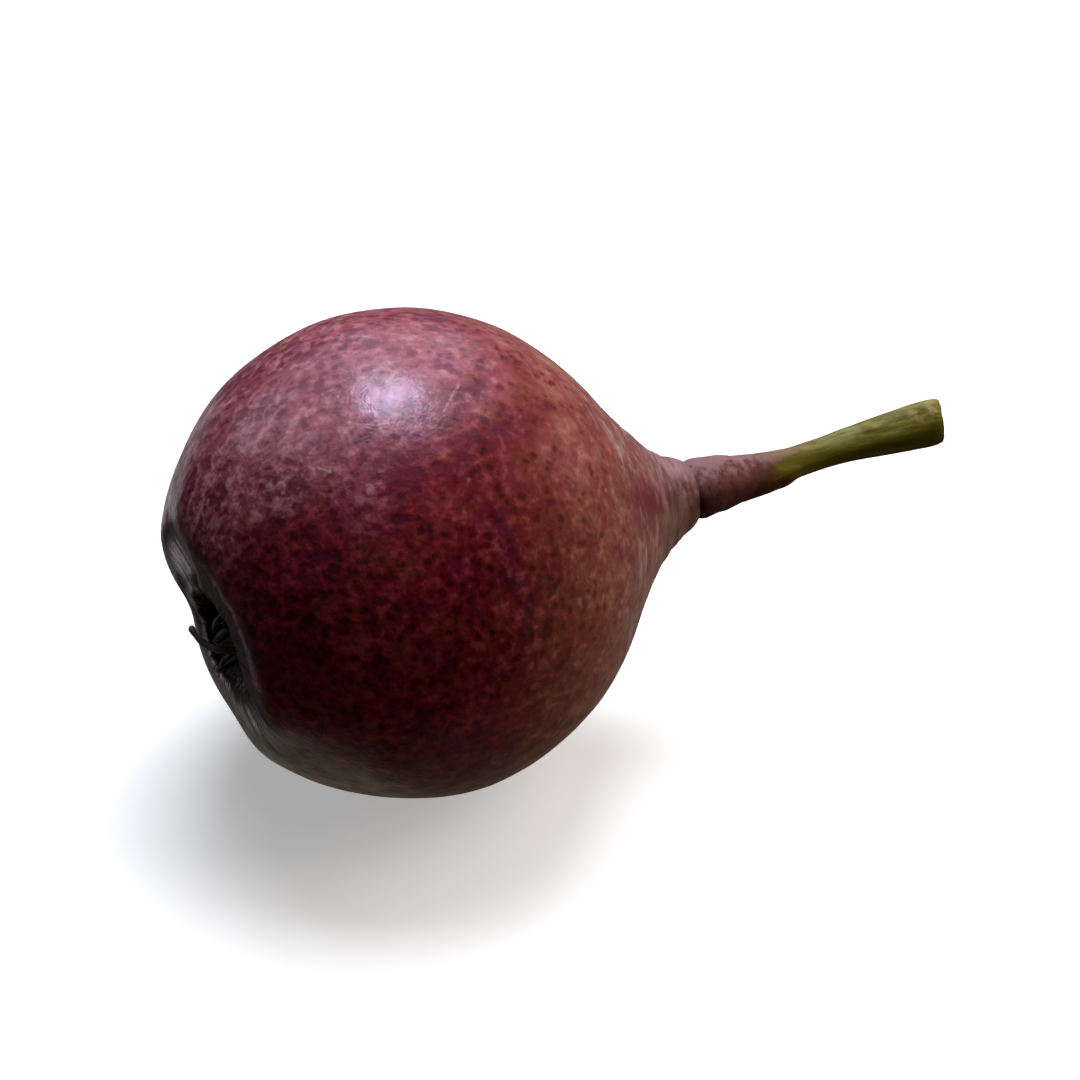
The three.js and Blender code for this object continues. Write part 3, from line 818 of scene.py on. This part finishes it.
def joinPieces(pieces, name):
    deselectAll()
    for piece in pieces:
        piece.select_set(True)
    bpy.context.view_layer.objects.active = pieces[0]
    bpy.ops.object.join()
    joined = bpy.context.object
    joined.name = name
    joined.data.name = name
    bpy.ops.object.mode_set(mode="EDIT")
    bpy.ops.mesh.select_all(action="SELECT")
    bpy.ops.mesh.normals_make_consistent(inside=False)
    bpy.ops.object.mode_set(mode="OBJECT")
    return joined


def makeSepals():
    look = calyxLook
    foot = (look["cupRadius"] - look["rimWidth"], 0, look["cupHeight"] * 0.45)
    sepals = []
    for shape in sepalShapes:
        lean, curl = math.radians(shape["lean"]), math.radians(shape["curl"])
        width, length, thick = shape["width"] * mm, shape["length"] * mm, shape["thick"] * mm
        sepal = growBlade(foot, length, 9, lambda t: lean + curl * t * t,
                          lambda t: width * (1 - (1 - shape["end"]) * t ** 1.3), thick, 14)
        addModifier(sepal, "SUBSURF", levels=2, render_levels=2)
        standAt(sepal, shape["turn"])
        sepals.append(sepal)
    sepals = joinPieces(sepals, "calyxSepals")
    roughen(sepals, 1.6 * mm, look["sepalCrinkle"])
    finishPiece(sepals, driedMaterial("driedSepal"), "calyx")


def growThread(root, length, steps, lean, widthAt, thick, turn):
    # one stamen or style, a little more bent towards its end
    thread = growBlade((root, 0, 0.6 * mm), length, steps, lambda t: lean * (1 + t), widthAt, thick, 7)
    addModifier(thread, "SUBSURF", levels=1, render_levels=1)
    standAt(thread, turn)
    return thread


def makeStamens():
    # stamens with knobbed ends in a ring, and the styles inside it
    look = calyxLook
    threads = []
    for k in range(look["stamens"]):
        lean = math.radians(8 + 8 * math.sin(2 * k))
        length = (2.6 + 0.7 * math.sin(3 * k + 1)) * mm
        turn = k * 360 / look["stamens"] + 11 * math.sin(5 * k)
        threads.append(growThread(1.9 * mm, length, 5, lean,
                                  lambda t: (0.42 - 0.12 * t + 0.3 * (t > 0.85)) * mm, 0.42 * mm, turn))
    for k in range(look["styles"]):
        turn = k * 360 / look["styles"] + 30
        threads.append(growThread(0.6 * mm, 2.1 * mm, 4, math.radians(7),
                                  lambda t: (0.5 - 0.1 * t) * mm, 0.5 * mm, turn))
    stamens = joinPieces(threads, "calyxStamens")
    roughen(stamens, 0.8 * mm, look["stamenCrinkle"])
    finishPiece(stamens, driedMaterial("driedStamen"), "calyx")
    print("calyx made")


def makeCup():
    look = calyxLook
    deselectAll()
    bpy.ops.mesh.primitive_cylinder_add(vertices=32, radius=look["cupRadius"], depth=look["cupHeight"],
                                        location=(0, 0, look["cupHeight"] / 2))
    cup = bpy.context.object
    bpy.ops.object.mode_set(mode="EDIT")
    bpy.ops.mesh.select_all(action="DESELECT")
    bpy.ops.object.mode_set(mode="OBJECT")
    for face in cup.data.polygons:
        face.select = face.normal.z > 0.9
    bpy.ops.object.mode_set(mode="EDIT")
    bpy.ops.mesh.inset(thickness=look["rimWidth"])
    bpy.ops.mesh.inset(thickness=0.5 * mm)
    bpy.ops.transform.translate(value=(0, 0, -0.6 * mm))
    bpy.ops.mesh.inset(thickness=1.0 * mm)
    bpy.ops.mesh.poke()
    bpy.ops.object.mode_set(mode="OBJECT")
    bpy.ops.object.transform_apply(location=True, rotation=True, scale=True)
    addModifier(cup, "SUBSURF", levels=2, render_levels=2)
    standAt(cup, 0)
    roughen(cup, 1.2 * mm, look["cupCrinkle"], detail=2)
    cup.name = "calyxCup"
    cup.data.name = "calyxCup"
    finishPiece(cup, driedMaterial("driedCup"), "calyx")


def driedMaterial(name):
    material, tree, shader, place = newMaterial(name)
    dark, pale = driedTints[name]
    fibres = noiseOf(tree, stretched(tree, place, (0.35, 1, 1)), 0.6 * mm, 3, 0.6)
    dry = mixOf(tree, rangeOf(tree, fibres, 0.42, 0.70), dark, pale)
    outward = alongOf(tree, place, calyxAxis, calyxFoot)
    dry = mixOf(tree, rangeOf(tree, outward, 3.5 * mm, 7 * mm, 0.0, 0.7), dry, tipGrey)
    tree.links.new(dry, shader.inputs["Base Color"])
    shader.inputs["Roughness"].default_value = 0.7
    tree.links.new(bumpOf(tree, fibres, 0.08 * mm), shader.inputs["Normal"])
    return material


# studio

cameraLook = {
    "azimuth": -21.8,
    "elevation": 33.0,
    "lens": 85.0,
    "distance": 312.4 * mm,
    "imageSize": 1080,
    "focalPixels": 2550.0,  # the lens again, in pixels of that image
    "bellyPixel": (405, 553),  # where the belly's middle comes in it
}
floorLook = {
    "radius": 0.5,
    "cloudSize": 40 * mm,
    "tones": ((0.76, 0.84, 0.86), (0.78, 0.86, 0.88)),
    "glow": 0.38,  # a pale light table, so shadows stay soft
}
# the room's dim glow: its direction, how straight that way it starts and is full, and its colour
roomBase = (0.002, 0.001, 0.001)
roomGlows = {
    "above": ((0, 0, 1), 0.2, 1.0, (0.06, 0.06, 0.07)),
    "behind": ((0.45, 0.70, -0.55), 0.62, 0.95, (0.18, 0.17, 0.17)),
    "below": ((0.25, 0, -0.97), 0.60, 0.95, (0.10, 0.08, 0.055)),
    "aside": ((1, 0, 0), 0.3, 1.0, (0.36, 0.27, 0.19)),
    "low": ((-0.20, 0.42, -0.885), 0.92, 0.99, (0.27, 0.24, 0.18)),
}


def makeCamera():
    look = cameraLook
    azimuth, elevation = math.radians(look["azimuth"]), math.radians(look["elevation"])
    back = Vector((math.sin(azimuth) * math.cos(elevation), -math.cos(azimuth) * math.cos(elevation),
                   math.sin(elevation)))
    right = Vector((math.cos(azimuth), math.sin(azimuth), 0))
    up = back.cross(right)
    middle = look["imageSize"] / 2
    perPixel = look["distance"] / look["focalPixels"]
    aside = (look["bellyPixel"][0] - middle) * perPixel
    above = (middle - look["bellyPixel"][1]) * perPixel
    place = bellyCentre + back * look["distance"] - right * aside - up * above
    data = bpy.data.cameras.new("camera")
    data.lens = look["lens"]
    data.clip_start = 0.01
    data.clip_end = 50
    camera = bpy.data.objects.new("camera", data)
    scene.collection.objects.link(camera)
    turn = Matrix((right, up, back)).transposed().to_4x4()
    camera.matrix_world = Matrix.Translation(place) @ turn
    scene.camera = camera
    return right, up, back


def makeFloor():
    look = floorLook
    deselectAll()
    bpy.ops.mesh.primitive_circle_add(vertices=96, radius=look["radius"], fill_type="NGON",
                                      location=(0, 0, 0))
    floor = bpy.context.object
    floor.name = "floor"
    material, tree, shader, place = newMaterial("paleFloor")
    tone = mixOf(tree, noiseOf(tree, place, look["cloudSize"], 2), *look["tones"])
    tree.links.new(tone, shader.inputs["Base Color"])
    shader.inputs["Roughness"].default_value = 0.9
    shader.inputs["Specular IOR Level"].default_value = 0.1
    shader.inputs["Emission Color"].default_value = (1, 1, 1, 1)
    shader.inputs["Emission Strength"].default_value = look["glow"]
    floor.data.materials.append(material)
    floor.visible_diffuse = False  # the fruit's underside stays as dark as it is on a dark table
    floor.visible_glossy = False
    floor.visible_shadow = False


def makeWorld():
    world = bpy.data.worlds.new("room")
    scene.world = world
    world.use_nodes = True
    tree = world.node_tree
    background = tree.nodes["Background"]
    direction = addNode(tree, "ShaderNodeTexCoord").outputs["Generated"]
    light = roomBase
    for towards, start, full, tint in roomGlows.values():
        share = rangeOf(tree, alongOf(tree, direction, towards), start, full)
        light = mixOf(tree, share, light, tint)
    seen = addNode(tree, "ShaderNodeLightPath").outputs["Is Camera Ray"]
    light = mixOf(tree, seen, light, (1.0, 1.0, 1.0))
    tree.links.new(light, background.inputs["Color"])
    background.inputs["Strength"].default_value = 1.0


def addLight(name, look):
    data = bpy.data.lights.new(name, "AREA")
    data.shape = "RECTANGLE"
    data.size, data.size_y = look["size"]
    data.energy = look["power"]
    data.color = look["tint"]
    light = bpy.data.objects.new(name, data)
    scene.collection.objects.link(light)
    away = Vector(look["from"]).normalized()
    light.location = bellyCentre + away * look["distance"]
    light.rotation_euler = away.to_track_quat("Z", "Y").to_euler()
    light.visible_diffuse = not look["shines"]
    light.visible_glossy = look["shines"]


def seenFrom(across, upward, towards):
    # a direction in the camera's own terms, as the studio is set up round the camera
    return right * across + up * upward + back * towards


right, up, back = makeCamera()
# those that shine make only highlights, and the others only light
studioLights = {
    "key": {"from": seenFrom(0.04, 0.95, 0.16), "distance": 0.7, "size": (0.45, 0.45), "power": 6.4,
            "tint": (1.0, 0.93, 0.98), "shines": False},
    "gloss": {"from": seenFrom(-0.06, 0.95, 0.31), "distance": 0.8, "size": (0.20, 0.36), "power": 5.8,
              "tint": (0.64, 0.68, 1.0), "shines": True},
    "sheen": {"from": seenFrom(-0.25, 0.93, 0.04), "distance": 0.8, "size": (1.4, 1.15), "power": 10.6,
              "tint": (0.82, 0.79, 1.0), "shines": True},
    "window": {"from": seenFrom(-0.46, 0.17, -0.87), "distance": 0.9, "size": (0.05, 0.30), "power": 0.16,
               "tint": (0.92, 0.96, 1.0), "shines": True},
    "rim": {"from": (-0.61, 0.53, -0.585), "distance": 0.9, "size": (0.22, 0.22), "power": 0.34,
            "tint": (1.0, 0.93, 0.98), "shines": True},
    "side": {"from": seenFrom(0.78, 0.60, 0.20), "distance": 0.9, "size": (0.8, 0.8), "power": 6.0,
             "tint": (1.0, 0.84, 0.76), "shines": False},
    "fill": {"from": seenFrom(0.15, -0.50, 0.85), "distance": 0.9, "size": (0.8, 0.8), "power": 0.7,
             "tint": (1.0, 0.78, 0.62), "shines": False},
}

makeFruit()
makeStalk()
makeCup()
makeSepals()
makeStamens()
makeFloor()
makeWorld()
for name, look in studioLights.items():
    addLight(name, look)
scene.view_settings.view_transform = "Standard"
print("studio made")
